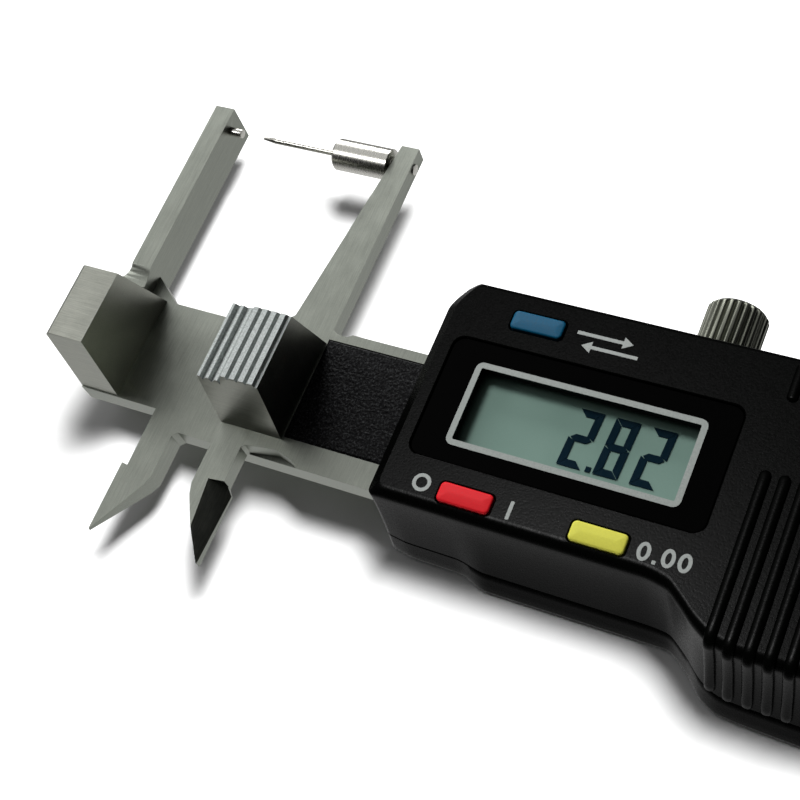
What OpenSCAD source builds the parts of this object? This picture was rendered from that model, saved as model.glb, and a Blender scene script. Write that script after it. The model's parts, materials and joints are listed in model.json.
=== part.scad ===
// Digital caliper with jeweller's measuring attachments.
// X runs along the beam, Y across it towards the pin arms, Z out of the display face.
// The origin is the centre of the fixed block's measuring face.
// The slider is drawn where it reads 2.82 between the anvil and the needle.

/* [Beam] */
// Width of the beam
beam_w = 14; // [13.9:0.05:14]
// Thickness of the beam
beam_t = 2.5; // [2.4:0.05:2.5]
// Distance from the fixed block's face to the right end of the beam
beam_end = 184; // [182:1:200]
// Length of the fixed block along the beam
fixed_block_l = 4.6; // [4:0.1:5]
// Height of both measuring blocks above the beam
block_h = 10.2; // [9:0.1:11]
// Y of the tips of both upper arms
arm_tip_y = 30.9; // [30.5:0.1:32]

/* [Slider] */
// Gap between the two measuring blocks in the drawn position
opening = 13.9; // [13.7:0.1:14]
// Thickness of the slider's steel plate
plate_t = 2; // [1.9:0.05:2]
// Length of the moving block along the beam
moving_block_l = 7.05; // [6:0.05:7.05]
// Gap between the anvil and the needle tip
needle_gap = 2.82; // [1:0.01:4]
// Diameter of the needle holder
holder_d = 3.5; // [3:0.1:3.8]
// Diameter of the needle
needle_d = 0.7; // [0.5:0.05:0.8]

/* [Housing] */
// Height of the display face above the beam
face_z = 6; // [5.9:0.05:6.2]
// Thickness of the housing's walls
wall = 1; // [0.9:0.05:1]
// Z of the flat back that the caliper lies on, below the beam's face
back_z = 6; // [5.6:0.1:7]
// Length of the housing along the beam
housing_l = 56.8; // [56.4:0.2:57]
// Number of grip ribs in the lower group
rib_count = 6; // [3:1:6]
// Travel of the push buttons
button_travel = 0.4; // [0.3:0.05:0.4]

/* [Lock screw] */
// Diameter of the knurled knob
knob_d = 6.2; // [5:0.1:6.4]
// Length of the knurled knob
knob_l = 6.4; // [5:0.1:7]
// Number of flutes round the knob
knob_flutes = 24; // [16:1:30]

/* [Hidden] */

$fn = 48;
fit = 0.05;
eps = 0.01;
face_mid = block_h / 2;
half_w = beam_w / 2;
steel = [0.6, 0.62, 0.59];
bright = [0.72, 0.73, 0.7];
black = [0.06, 0.06, 0.065];

// Head of the beam
head_x = -fixed_block_l;
head_low = -5.15;
fixed_arm_w = 2.4;
fixed_arm_low = -beam_t;
fixed_arm_top = 2.5;
arm_right = head_x + fixed_arm_w;
scoop_r = 4.2;
scoop_z = fixed_arm_top + 3.5;
flare_w = 1;
flare_r = 2.25;
flare_y = half_w + 2.4;
jaw_root = 8.15;
jaw_edge = 4.25;
jaw_tip = -19.6;

// Slider plate
plate_x = opening;
plate_end = plate_x + 75;
plate_low = -7.65;
plate_high = 7.75;
arm_x = plate_x + 7.15;
pin_y = 28.85;
pin_z = plate_t / 2;
anvil_tip = -0.65;
anvil_d = 1;
anvil_seat = 1.5;
needle_tip = anvil_tip + needle_gap;
holder_x = plate_x - 2.3;
holder_end = plate_x + 4.4;
collar_t = 0.2;
stud_d = 1.2;
stud_start = 3.6;
insert_t = 0.5;
insert_x = plate_x + 7.2;
insert_end = plate_x + 23.5;
insert_low = -4.8;
insert_high = 6.6;

// Guides of the slider
flange_x = plate_x + 22.5;
flange_t = 1.35;
gib_t = 0.5;
gib_y = half_w + fit;
upper_flange = gib_y + gib_t + fit;
retainer_t = 0.4;
retainer_z = -beam_t - fit - retainer_t;

// Housing outline
hx = plate_x + 19.3;
hend = hx + housing_l;
face_low = -9;
face_high = 15;
side_low = -11.8;
side_high = 15.4;
split_z = retainer_z - 0.05;
inner_z = face_z - wall;
ledge_z = plate_t + 0.12;
thumb_x = plate_x + 46;

// Reader, board and display
reader_x = plate_x + 24.5;
reader_l = 33;
reader_half_w = 5.2;
board_x = hx + 6.2;
board_l = 35.4;
board_z = plate_t + 0.1;
board_t = 0.8;
board_top = board_z + board_t;
lcd_x = plate_x + 24.75;
lcd_l = 23;
lcd_y = -2.25;
lcd_w = 9;
lcd_t = 1.3;
lcd_z = board_top + 0.75;
window_x = plate_x + 21.6;
window_l = 29;
window_y = -4.1;
window_w = 13;
window_t = 0.75;
window_gap = 0.06;
window_z = face_z - 0.2 - window_t;

// Buttons, each one a centre in X and Y
button_l = 5.3;
button_w = 2;
button_top = face_z + 0.35;
button_skirt = inner_z - 0.9;
dome_t = 0.25;
power_at = [plate_x + 28.95, -7];
zero_at = [plate_x + 41.95, -7];
unit_at = [plate_x + 29, 11.85];

// Battery at the right end of the housing
cell_d = 11.6;
cell_t = 2.9;
cell_at = [hend - 7.4, 2.7];
cell_z = plate_t + 0.15;
lid_x = hend - 13;
lid_y = cell_at[1] - 6.6;
lid_w = 13.2;
lid_z = cell_z + cell_t + 0.08;

// Lock screw
knob_at = [plate_x + 45.2, -beam_t / 2];
knob_y = side_high + 0.2;
lock_gap = 0.1;
screw_d = 2.2;

// Screws and the bosses that they go into
boss_d = 2.4;
cover_boss_d = 2.2;
tiny_d = 1;
tiny_hole = tiny_d + 0.06;
gib_screw_d = 1.2;
tiny_head = 1.7;
small_d = 1.4;
small_head = 2.4;
small_head_t = 0.6;
pan_head = 1.6;
pan_head_t = 0.5;
recess_w = 0.25;
recess_depth = 0.3;
recess_share = 0.62;

// Moves everything so that the origin is the centre of the fixed block's face
module in_frame() {
    translate([0, 0, -face_mid]) children();
}

// A box given by its low corner and its high corner
module span(low, high) {
    translate(low) cube(high - low);
}

// A prism along X from an outline drawn as Y and Z
module along_x(x0, x1) {
    translate([x0, 0, 0]) rotate([90, 0, 90]) linear_extrude(x1 - x0) children();
}

// Cross recess that opens at z = 0 in a screw's head
module cross_recess(head) {
    for (a = [0, 90]) rotate([0, 0, a]) translate([0, 0, recess_depth / 2 - eps])
        cube([head * recess_share, recess_w, recess_depth + eps], center = true);
}

// A countersunk screw whose flat head lies at z = 0 and whose shank rises
module flat_screw(shank, d = small_d, head = small_head) difference() {
    union() {
        cylinder(h = small_head_t, d1 = head, d2 = d);
        cylinder(h = shank, d = d);
    }
    cross_recess(head);
}

// A pan-head screw whose head lies below z = 0 and whose shank rises
module pan_screw(shank) difference() {
    union() {
        translate([0, 0, -pan_head_t]) cylinder(h = pan_head_t, d = pan_head);
        cylinder(h = shank, d = tiny_d);
    }
    translate([0, 0, -pan_head_t]) cross_recess(pan_head);
}

// The hole for a countersunk screw
module flat_screw_hole(depth, d = small_d, head = small_head) {
    translate([0, 0, -eps]) cylinder(h = small_head_t + 0.05, d1 = head + 0.1, d2 = d + 0.06);
    translate([0, 0, -eps]) cylinder(h = depth, d = d + 0.06);
}

// ---- Beam and what is fixed to it ----

scale_x = 26;
scale_end = beam_end - 8;
scale_w = 8;
scale_depth = 0.4;
fixed_screw_at = [[-fixed_block_l / 2, -2.2], [-fixed_block_l / 2, 3.6]];
end_screw_at = [[beam_end - 3, -4], [beam_end - 3, 4]];

module head_outline() {
    polygon([[head_x, head_low], [jaw_edge + 0.7, head_low], [jaw_edge + 0.7, -11.9],
        [jaw_edge, -11.8], [jaw_edge, jaw_tip + 0.15], [jaw_edge + 0.1, jaw_tip],
        [jaw_root - 0.35, -13.4], [jaw_root, -12.3], [jaw_root, -half_w - 0.5],
        [jaw_root + 0.5, -half_w], [beam_end - 1.5, -half_w], [beam_end, -half_w + 1.5],
        [beam_end, half_w - 1.5], [beam_end - 1.5, half_w], [1.2, half_w], [-1.3, half_w + 1.9],
        [arm_right, half_w + 2.6], [head_x, half_w + 2.6]]);
}

// The fixed arm's left side widens in a curve towards the block
module arm_flare() difference() {
    span([head_x - flare_w, half_w + 0.1, fixed_arm_low], [head_x + 0.5, flare_y, fixed_arm_top]);
    translate([head_x - flare_r + fit, flare_y, fixed_arm_low - 1])
        cylinder(h = fixed_arm_top - fixed_arm_low + 2, r = flare_r);
}

module beam() in_frame() color(steel) difference() {
    union() {
        translate([0, 0, -beam_t]) linear_extrude(beam_t) head_outline();
        span([head_x, half_w + 0.1, fixed_arm_low], [arm_right, arm_tip_y, fixed_arm_top]);
        arm_flare();
    }
    // Milled scoop between the arm and the block
    translate([head_x - 2, half_w, scoop_z]) rotate([0, 90, 0])
        cylinder(h = fixed_arm_w + 3, r = scoop_r);
    // The inside jaw thins from behind towards its tip
    translate([jaw_edge - 2, -12.3, -beam_t]) rotate([-16.5, 0, 0]) translate([0, -10, -3]) cube([8, 10, 3]);
    // Groove for the scale
    span([scale_x - fit, -scale_w / 2 - fit, -scale_depth], [scale_end + fit, scale_w / 2 + fit, 1]);
    // Bore of the anvil pin
    translate([arm_right - anvil_seat - 0.1, pin_y, pin_z]) rotate([0, 90, 0])
        cylinder(h = 3, d = anvil_d + 0.02);
    for (p = fixed_screw_at) translate([p[0], p[1], -beam_t]) flat_screw_hole(beam_t + 1);
    for (p = end_screw_at) translate([p[0], p[1], -beam_t - 1])
        cylinder(h = beam_t + 0.4, d = small_d + 0.06);
}

// Block with a sloping front and back, as an outline in Y and Z
module block_outline(y0, y1, h) {
    polygon([[y0, 0], [y1, 0], [4.2, h], [-4.1, h]]);
}

module fixed_block() in_frame() color(bright) difference() {
    along_x(head_x, 0) block_outline(-5, half_w, block_h);
    translate([head_x, 0, block_h - 0.45]) rotate([0, -40, 0]) translate([-2, -8, 0]) cube([4, 16, 2]);
    for (p = fixed_screw_at) translate([p[0], p[1], -eps]) cylinder(h = 3, d = small_d + 0.02);
}

module fixed_block_screws() in_frame() color("silver") {
    for (p = fixed_screw_at) translate([p[0], p[1], -beam_t]) flat_screw(beam_t + 2.5);
}

module anvil_pin() in_frame() color("silver") {
    translate([arm_right - anvil_seat, pin_y, pin_z]) rotate([0, 90, 0])
        cylinder(h = anvil_tip - arm_right + anvil_seat, d = anvil_d);
}

module scale_strip() in_frame() color([0.1, 0.3, 0.2]) {
    span([scale_x, -scale_w / 2, -scale_depth], [scale_end, scale_w / 2, -0.2]);
}

module scale_film() in_frame() color([0.75, 0.75, 0.72]) {
    span([scale_x, -scale_w / 2, -0.2], [scale_end, scale_w / 2, -0.04]);
}

module end_stop() in_frame() color(steel) difference() {
    span([beam_end - 5, -6, -beam_t - 1.2], [beam_end - 0.5, 6, -beam_t]);
    for (p = end_screw_at) translate([p[0], p[1], -beam_t - 1.2]) flat_screw_hole(3);
}

module end_stop_screws() in_frame() color("silver") {
    for (p = end_screw_at) translate([p[0], p[1], -beam_t - 1.2]) flat_screw(3);
}

// ---- Slider's steel parts ----

moving_screw_at = [[plate_x + 3.5, -2.6], [plate_x + 3.5, 3.6]];
guide_low = -half_w - 0.72;
guide_high = half_w + 1.6;
frame_screw_at = [for (x = [hx + 5.4, hend - 2], y = [guide_low, guide_high]) [x, y]];
retainer_screw_at = [for (x = [hx + 9.4, hend - 8], y = [guide_low, guide_high]) [x, y]];
gib_screw_x = [plate_x + 33, plate_x + 60];

module plate_outline() {
    polygon([[plate_x, plate_high + 0.2], [plate_x, -12.2], [plate_x + 0.35, -13.4],
        [plate_x + 1.15, -14.9], [plate_x + 2.5, -17.3], [plate_x + 3.8, jaw_tip],
        [plate_x + 3.9, jaw_tip + 0.15], [plate_x + 3.9, -11.9], [plate_x + 3.3, -11.2],
        [plate_x + 3.3, -7.2], [plate_x + 3.6, -6.85], [plate_x + 7, -6.4], [plate_x + 8.8, -6.9],
        [plate_x + 10, plate_low], [plate_end, plate_low], [plate_end, plate_high],
        [plate_x + 9.4, plate_high], [plate_x + 8.9, plate_high - 0.35], [plate_x + 7.8, plate_high - 0.35],
        [arm_x, plate_high], [arm_x, arm_tip_y], [arm_x - 2.1, arm_tip_y], [arm_x - 4.8, plate_high + 0.6],
        [arm_x - 5.2, plate_high + 0.2]]);
}

module slider_frame() in_frame() color(steel) difference() {
    union() {
        translate([0, 0, 0.04]) linear_extrude(plate_t - 0.04) plate_outline();
        span([flange_x, -half_w - fit - flange_t, -beam_t - fit], [plate_end, -half_w - fit, 0.1]);
        span([flange_x, -half_w - fit - flange_t, 0], [plate_end, plate_low + 0.1, plate_t]);
        span([flange_x, upper_flange, -beam_t - fit], [plate_end, upper_flange + 2, plate_t]);
    }
    // Knife edge of the moving inside jaw
    translate([plate_x + 1.45, -11.3, plate_t + 0.05]) rotate([0, 36, 6])
        translate([0, -12, 0]) cube([6, 12, 4]);
    // Pocket of the textured insert
    span([insert_x - fit, insert_low - fit, plate_t - insert_t],
        [insert_end + fit, insert_high + fit, plate_t + 1]);
    // Window for the reader
    span([reader_x - fit, -reader_half_w - fit, -1],
        [reader_x + reader_l + fit, reader_half_w + fit, plate_t + 1]);
    // Hole of the needle holder's stud
    translate([arm_x - 6, pin_y, pin_z]) rotate([0, 90, 0]) cylinder(h = 8, d = stud_d + 0.04);
    for (p = moving_screw_at) translate([p[0], p[1], 0.04]) flat_screw_hole(3);
    for (p = retainer_screw_at) translate([p[0], p[1], -beam_t - 1]) cylinder(h = 3.4, d = tiny_hole);
    for (p = frame_screw_at) translate([p[0], p[1], -beam_t - 1]) cylinder(h = 6, d = tiny_hole);
    for (x = gib_screw_x) translate([x, upper_flange - 1, knob_at[1]]) rotate([-90, 0, 0]) 
        cylinder(h = 4, d = gib_screw_d + 0.06);
    translate([knob_at[0], upper_flange - 1, knob_at[1]]) rotate([-90, 0, 0])
        cylinder(h = 4, d = screw_d + 0.1);
}

// Half of a V groove: a tooth profile as points in X and Z, from a start, a pitch and a land
function teeth(x, z, n, pitch, land, depth) = [for (i = [0 : n - 1]) each
    [[x + i * pitch, z], [x + i * pitch + land, z], [x + i * pitch + land + 0.18, z - depth]]];

low_pitch = moving_block_l / 7;
top_step = 1.1;

module moving_block() in_frame() color(bright) difference() {
    intersection() {
        translate([0, 0, plate_t]) along_x(plate_x, plate_x + moving_block_l)
            polygon([[-5.2, 0], [6.15, 0], [4, block_h - plate_t + top_step],
                [-4, block_h - plate_t + top_step]]);
        translate([0, 10, 0]) rotate([90, 0, 0]) linear_extrude(20) polygon(concat(
            [[plate_x - 1, 0], [plate_x - 1, block_h]],
            teeth(plate_x, block_h, 3, low_pitch, 0.3, 0.55),
            teeth(plate_x + 3 * low_pitch, block_h + top_step, 4, low_pitch, 0.55, 0.4),
            [[plate_x + moving_block_l + 1, block_h + top_step - 0.2], [plate_x + moving_block_l + 1, 0]]));
    }
    for (p = moving_screw_at) translate([p[0], p[1], 1]) cylinder(h = 4, d = small_d + 0.02);
}

module moving_block_screws() in_frame() color("silver") {
    for (p = moving_screw_at) translate([p[0], p[1], 0.06]) flat_screw(4.2);
}

module needle_holder() in_frame() color("silver") difference() {
    translate([holder_x, pin_y, pin_z]) rotate([0, 90, 0]) union() {
        cylinder(h = 0.3, d1 = holder_d - 0.6, d2 = holder_d);
        translate([0, 0, 0.3]) cylinder(h = holder_end - holder_x - 0.3, d = holder_d);
    }
    translate([holder_x - 1, pin_y, pin_z]) rotate([0, 90, 0]) cylinder(h = 3, d = needle_d + 0.02);
    translate([holder_x + stud_start - 0.2, pin_y, pin_z]) rotate([0, 90, 0])
        cylinder(h = 8, d = stud_d + 0.02);
}

module needle() in_frame() color("silver") {
    translate([needle_tip, pin_y, pin_z]) rotate([0, 90, 0]) union() {
        cylinder(h = 1.5, d1 = 0.3, d2 = needle_d);
        translate([0, 0, 1.5]) cylinder(h = holder_x + 1.9 - needle_tip - 1.5, d = needle_d);
    }
}

module holder_stud() in_frame() color([0.5, 0.51, 0.5]) {
    translate([holder_x + stud_start, pin_y, pin_z]) rotate([0, 90, 0])
        cylinder(h = arm_x + 0.15 - holder_x - stud_start, d = stud_d);
    translate([holder_end, pin_y, pin_z]) rotate([0, 90, 0]) cylinder(h = collar_t, d = 1.9);
}

module textured_insert() in_frame() color(black) {
    span([insert_x, insert_low, plate_t - insert_t], [insert_end, insert_high, plate_t + 0.06]);
}

module gib_strip() in_frame() color([0.72, 0.55, 0.28]) {
    span([flange_x + 0.5, gib_y, -beam_t + 0.2], [plate_end - 0.5, gib_y + gib_t, -0.1]);
}

module gib_screws() in_frame() color("dimgray") {
    for (x = gib_screw_x) translate([x, gib_y + gib_t, knob_at[1]]) rotate([-90, 0, 0]) 
        cylinder(h = 2, d = gib_screw_d);
}

module retaining_plate() in_frame() color(steel) difference() {
    span([flange_x, -half_w - fit - flange_t, retainer_z],
        [plate_end, upper_flange + 2, -beam_t - fit]);
    for (p = retainer_screw_at) translate([p[0], p[1], -beam_t - 1]) cylinder(h = 2, d = tiny_hole);
    for (p = frame_screw_at) translate([p[0], p[1], -beam_t - 1]) cylinder(h = 2, d = tiny_hole);
}

module retaining_plate_screws() in_frame() color("silver") {
    for (p = retainer_screw_at) translate([p[0], p[1], retainer_z]) pan_screw(2.2);
}

cover_screw_at = [[hx + 1.95, -8.85], [hx + 3, 11.4], [thumb_x + 12, -12.6], [hend - 2.6, 11.6]];
cover_screw_l = 5;

// ---- Electronics ----

module reader_board() in_frame() color([0.12, 0.35, 0.22]) {
    span([reader_x, -reader_half_w, 0.2], [reader_x + reader_l, reader_half_w, 1.2]);
}

module circuit_board() in_frame() color([0.12, 0.4, 0.25]) difference() {
    span([board_x, -8, board_z], [board_x + board_l, 14, board_top]);
    for (p = frame_screw_at) translate([p[0], p[1], 0]) cylinder(h = 6, d = boss_d + 0.4);
}

module chip() in_frame() color("black") {
    span([board_x + 10, -4.2, 1.25], [board_x + 20, 4.2, board_z]);
}

module switch_domes() in_frame() color("silver") {
    for (p = [power_at, zero_at, unit_at]) translate([p[0], p[1], board_top])
        cylinder(h = dome_t, d = 1.8);
}

module elastomer_strips() in_frame() color([0.75, 0.72, 0.65]) {
    for (y = [lcd_y + 0.4, lcd_y + lcd_w - 1.4])
        span([lcd_x + 1, y, board_top], [lcd_x + lcd_l - 1, y + 1, lcd_z]);
}

module lcd_glass() in_frame() color([0.5, 0.58, 0.52]) {
    span([lcd_x, lcd_y, lcd_z], [lcd_x + lcd_l, lcd_y + lcd_w, lcd_z + lcd_t]);
}

module lcd_holder() in_frame() color(black) difference() {
    span([lcd_x - 0.8, lcd_y - 0.6, board_top],
        [lcd_x + lcd_l + 0.8, lcd_y + lcd_w + 0.6, lcd_z + lcd_t]);
    span([lcd_x - fit, lcd_y - fit, 0], [lcd_x + lcd_l + fit, lcd_y + lcd_w + fit, face_z]);
}

module battery() in_frame() color("silver") {
    translate([cell_at[0], cell_at[1], cell_z]) union() {
        cylinder(h = cell_t - 0.3, d = cell_d);
        cylinder(h = cell_t, d = cell_d - 2.4);
    }
}

module battery_contacts() in_frame() color([0.8, 0.68, 0.35]) {
    span([cell_at[0] - cell_d / 2 - 0.7, cell_at[1] - 2, board_z],
        [cell_at[0] - cell_d / 2 - 0.1, cell_at[1] + 2, cell_z + 2.4]);
    span([board_x + board_l + 0.1, cell_at[1] - 4.4, board_z],
        [board_x + board_l + 2, cell_at[1] - 3.4, board_z + 0.3]);
}

// ---- Housing ----

// Side view of the housing, as Y and Z, with its lower side's Y at the face and at the back
module side_outline(low_face, low_back) {
    polygon([[low_face, face_z], [low_face - 1.1, face_z - 1.1], [low_back, -back_z],
        [side_high, -back_z], [side_high, face_z - 1.2], [face_high, face_z]]);
}

module thumb_outline() {
    polygon([[thumb_x, -9], [thumb_x + 3.6, -11.7], [thumb_x + 5, -13.6], [thumb_x + 7.2, -15.4],
        [thumb_x + 12, -16.3], [thumb_x + 19, -16.6], [thumb_x + 27, -15.6], [hend - 1, -12],
        [hend - 1, 0], [thumb_x, 0]]);
}

// Solid outer shape between two heights
module housing_solid(z0, z1) {
    intersection() {
        union() {
            along_x(hx, hend) side_outline(face_low, side_low);
            intersection() {
                along_x(thumb_x - 1, hend) side_outline(-13.4, -16.6);
                translate([0, 0, -back_z]) linear_extrude(back_z + face_z) thumb_outline();
            }
        }
        translate([0, 0, z0]) linear_extrude(z1 - z0) polygon([[hx, -10.2], [hx + 1.9, -10.2],
            [hx + 2.2, -10.6], [hx + 8, -10.7], [hx + 11, -11.8], [hx + 11, -20], [hend, -20], [hend, 14.4],
            [hend - 1.2, 20], [hx + 3, 20], [hx + 1.8, face_high + 0.4], [hx, 12.4]]);
    }
}

module button_hole(at) {
    span([at[0] - button_l / 2 - 0.1, at[1] - button_w / 2 - 0.1, 0],
        [at[0] + button_l / 2 + 0.1, at[1] + button_w / 2 + 0.1, face_z + 1]);
}

rib_pitch = 1.75;
rib_w = 0.95;
rib_h = 0.45;
rib_x = thumb_x + 7.4;

module housing_ribs() {
    for (i = [0 : rib_count - 1]) {
        x = rib_x + i * rib_pitch;
        span([x, -13.2, face_z - 0.5], [x + rib_w, 3.4, face_z + rib_h]);
        span([x, 10.4, face_z - 0.5], [x + rib_w, 14.6, face_z + rib_h]);
    }
}

// Bosses inside the housing for the screws from the guides and from the back cover
module housing_bosses() {
    for (p = frame_screw_at) translate([p[0], p[1], plate_t + 0.03])
        cylinder(h = inner_z - plate_t + 0.1, d = boss_d);
    for (p = cover_screw_at) translate([p[0], p[1], split_z])
        cylinder(h = inner_z - split_z + 0.1, d = cover_boss_d);
}

module display_opening() {
    span([window_x, window_y, window_z - 0.1], [window_x + window_l, window_y + window_w, face_z + 1]);
}

module housing_shell() difference() {
    union() {
        housing_solid(split_z, face_z);
        housing_ribs();
    }
    // Hollow over the plate
    span([hx + wall, -8.6, ledge_z - 1], [hend - wall, 14.2, inner_z]);
    // Channel of the beam, the frame and its guides
    span([hx - 1, plate_low - 0.15, -9], [hend + 1, plate_high + 0.15, ledge_z]);
    span([hx + wall, -8.65, -9], [hend - wall, 14.2, ledge_z]);
    display_opening();
    span([lcd_x - 0.9, lcd_y - 0.7, 1], [lcd_x + lcd_l + 0.9, lcd_y + lcd_w + 0.7, face_z]);
    for (p = [power_at, zero_at, unit_at]) button_hole(p);
    // Battery opening with side grooves for the lid
    span([lid_x - 0.05, lid_y - 0.05, inner_z - 1], [hend + 1, lid_y + lid_w + 0.05, face_z + 1]);
    span([lid_x - 0.05, lid_y - 0.75, lid_z - 0.05], [hend + 1, lid_y + lid_w + 0.75, lid_z + 0.4]);
    // Hole of the lock screw
    translate([knob_at[0], 10, knob_at[1]]) rotate([-90, 0, 0]) cylinder(h = 9, d = screw_d + 0.6);
    translate([knob_at[0], side_high - 0.35, knob_at[1]]) rotate([-90, 0, 0])
        cylinder(h = 3, d = knob_d + 0.6);
}

module housing() in_frame() color(black) difference() {
    union() {
        housing_shell();
        housing_bosses();
    }
    display_opening();
    for (p = frame_screw_at) translate([p[0], p[1], 0])
        cylinder(h = board_z + 1.6, d = tiny_d + 0.04);
    for (p = cover_screw_at) translate([p[0], p[1], -back_z])
        cylinder(h = cover_screw_l + 0.2, d = tiny_d + 0.04);
}

module housing_screws() in_frame() color("silver") {
    for (p = frame_screw_at) translate([p[0], p[1], retainer_z]) pan_screw(board_z - retainer_z + 1.4);
}

module window_panel() in_frame() color([0.02, 0.02, 0.02]) difference() {
    span([window_x + window_gap, window_y + window_gap, window_z],
        [window_x + window_l - window_gap, window_y + window_w - window_gap, window_z + window_t]);
    span([lcd_x + 0.8, lcd_y + 0.8, 0], [lcd_x + lcd_l - 0.8, lcd_y + lcd_w - 0.8, face_z + 1]);
}

module push_button(at) {
    stem_z = board_top + dome_t + button_travel + fit;
    span([at[0] - button_l / 2, at[1] - button_w / 2, button_skirt],
        [at[0] + button_l / 2, at[1] + button_w / 2, button_top]);
    translate([at[0], at[1], stem_z]) cylinder(h = button_skirt - stem_z, d = 1.6);
}

module button_power() in_frame() color([0.9, 0.1, 0.12]) push_button(power_at);

module button_zero() in_frame() color([0.9, 0.88, 0.35]) push_button(zero_at);

module button_unit() in_frame() color([0.03, 0.4, 0.58]) push_button(unit_at);

module battery_lid() in_frame() color(black) union() {
    span([lid_x, lid_y, lid_z], [hend, lid_y + lid_w, face_z]);
    span([lid_x, lid_y - 0.65, lid_z], [hend, lid_y + lid_w + 0.65, lid_z + 0.32]);
}

module back_cover() in_frame() color(black) difference() {
    housing_solid(-back_z, split_z - 0.02);
    // Pocket over the retaining plate's screws
    span([flange_x - 0.5, -8.7, -back_z + 1.2], [hend - 1, 10.2, 0]);
    for (p = cover_screw_at) translate([p[0], p[1], -back_z]) flat_screw_hole(9, tiny_d, tiny_head);
}

module back_cover_screws() in_frame() color("silver") {
    for (p = cover_screw_at) translate([p[0], p[1], -back_z]) flat_screw(cover_screw_l, tiny_d, tiny_head);
}

// ---- Lock screw ----

plug_y = gib_y + gib_t + lock_gap;
plug_l = 0.6;
knob_chamfer = 0.4;

module knob_head() difference() {
    union() {
        cylinder(h = knob_l - knob_chamfer, d = knob_d);
        translate([0, 0, knob_l - knob_chamfer])
            cylinder(h = knob_chamfer, d1 = knob_d, d2 = knob_d - 2 * knob_chamfer);
    }
    for (i = [0 : knob_flutes - 1]) rotate([0, 0, i * 360 / knob_flutes])
        translate([knob_d / 2 + 0.12, 0, -1]) cylinder(h = knob_l + 2, r = 0.32, $fn = 16);
}

module lock_knob() in_frame() color([0.62, 0.6, 0.55]) {
    translate([knob_at[0], 0, knob_at[1]]) rotate([-90, 0, 0]) union() {
        translate([0, 0, knob_y]) knob_head();
        translate([0, 0, plug_y + plug_l]) cylinder(h = knob_y - plug_y - plug_l + 0.1, d = screw_d);
    }
}

module lock_plug() in_frame() color([0.8, 0.62, 0.25]) {
    translate([knob_at[0], plug_y, knob_at[1]]) rotate([-90, 0, 0])
        cylinder(h = plug_l, d = screw_d - 0.2);
}

beam();
fixed_block();
fixed_block_screws();
anvil_pin();
scale_strip();
scale_film();
end_stop();
end_stop_screws();
slider_frame();
moving_block();
moving_block_screws();
needle_holder();
needle();
holder_stud();
textured_insert();
gib_strip();
gib_screws();
retaining_plate();
retaining_plate_screws();
reader_board();
circuit_board();
chip();
switch_domes();
elastomer_strips();
lcd_glass();
lcd_holder();
battery();
battery_contacts();
housing();
housing_screws();
window_panel();
button_power();
button_zero();
button_unit();
battery_lid();
back_cover();
back_cover_screws();
lock_knob();
lock_plug();
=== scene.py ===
"""Looks for the digital caliper with jeweller's measuring attachments.

Lengths are millimetres in the part's own frame, and become metres as a mesh is made.
X runs along the beam, Y across it towards the pin arms, Z out of the display face.
"""

import json
import math

import bmesh
import bpy
from mathutils import Matrix, Vector, noise


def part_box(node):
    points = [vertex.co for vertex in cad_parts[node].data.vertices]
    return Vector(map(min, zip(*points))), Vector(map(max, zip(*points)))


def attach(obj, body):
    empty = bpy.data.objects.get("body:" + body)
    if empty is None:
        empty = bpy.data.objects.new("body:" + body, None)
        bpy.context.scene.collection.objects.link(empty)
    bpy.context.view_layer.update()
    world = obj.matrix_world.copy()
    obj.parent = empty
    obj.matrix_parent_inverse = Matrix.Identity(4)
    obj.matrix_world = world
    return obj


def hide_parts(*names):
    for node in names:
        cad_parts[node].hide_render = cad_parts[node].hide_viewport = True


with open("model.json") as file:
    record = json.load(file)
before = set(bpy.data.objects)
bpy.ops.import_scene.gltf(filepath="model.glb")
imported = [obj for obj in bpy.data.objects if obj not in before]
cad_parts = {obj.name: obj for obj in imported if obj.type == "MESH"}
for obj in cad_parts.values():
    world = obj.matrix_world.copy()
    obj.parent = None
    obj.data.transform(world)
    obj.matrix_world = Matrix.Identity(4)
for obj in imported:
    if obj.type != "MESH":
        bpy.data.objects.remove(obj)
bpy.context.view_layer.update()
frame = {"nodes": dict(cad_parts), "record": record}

MM = 0.001
scene = bpy.context.scene


# ---- Places taken from the frame ----

def box_mm(node):
    """The lowest and highest corner of a CAD node, in millimetres."""
    low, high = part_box(node)
    return low / MM, high / MM


RIB_HEIGHT = 0.45
housing_low, housing_high = box_mm("housing")
cover_low, cover_high = box_mm("back_cover")
window_low, window_high = box_mm("window_panel")
glass_low, glass_high = box_mm("lcd_glass")
holder_low, holder_high = box_mm("lcd_holder")
lid_low, lid_high = box_mm("battery_lid")
insert_low, insert_high = box_mm("textured_insert")
frame_low, frame_high = box_mm("slider_frame")
knob_low, knob_high = box_mm("lock_knob")

LEFT, RIGHT = housing_low.x, housing_high.x
FACE_Z = housing_high.z - RIB_HEIGHT
SPLIT_Z = housing_low.z
BACK_Z = cover_low.z
DEPTH = FACE_Z - BACK_Z


# ---- Meshes ----

def closed_rings(rings):
    """Points and faces of a closed skin through rings that all have as many points."""
    count = len(rings[0])
    points = [p for ring in rings for p in ring]
    faces = [list(range(count)), list(range(len(points) - count, len(points)))]
    for r in range(len(rings) - 1):
        a, b = r * count, (r + 1) * count
        for i in range(count):
            j = (i + 1) % count
            faces.append([a + i, b + i, b + j, a + j])
    return points, faces


def joined(*solids):
    """Several (points, faces) pairs as one pair."""
    points, faces = [], []
    for some_points, some_faces in solids:
        start = len(points)
        points.extend(some_points)
        faces.extend([[start + i for i in face] for face in some_faces])
    return points, faces


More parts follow.
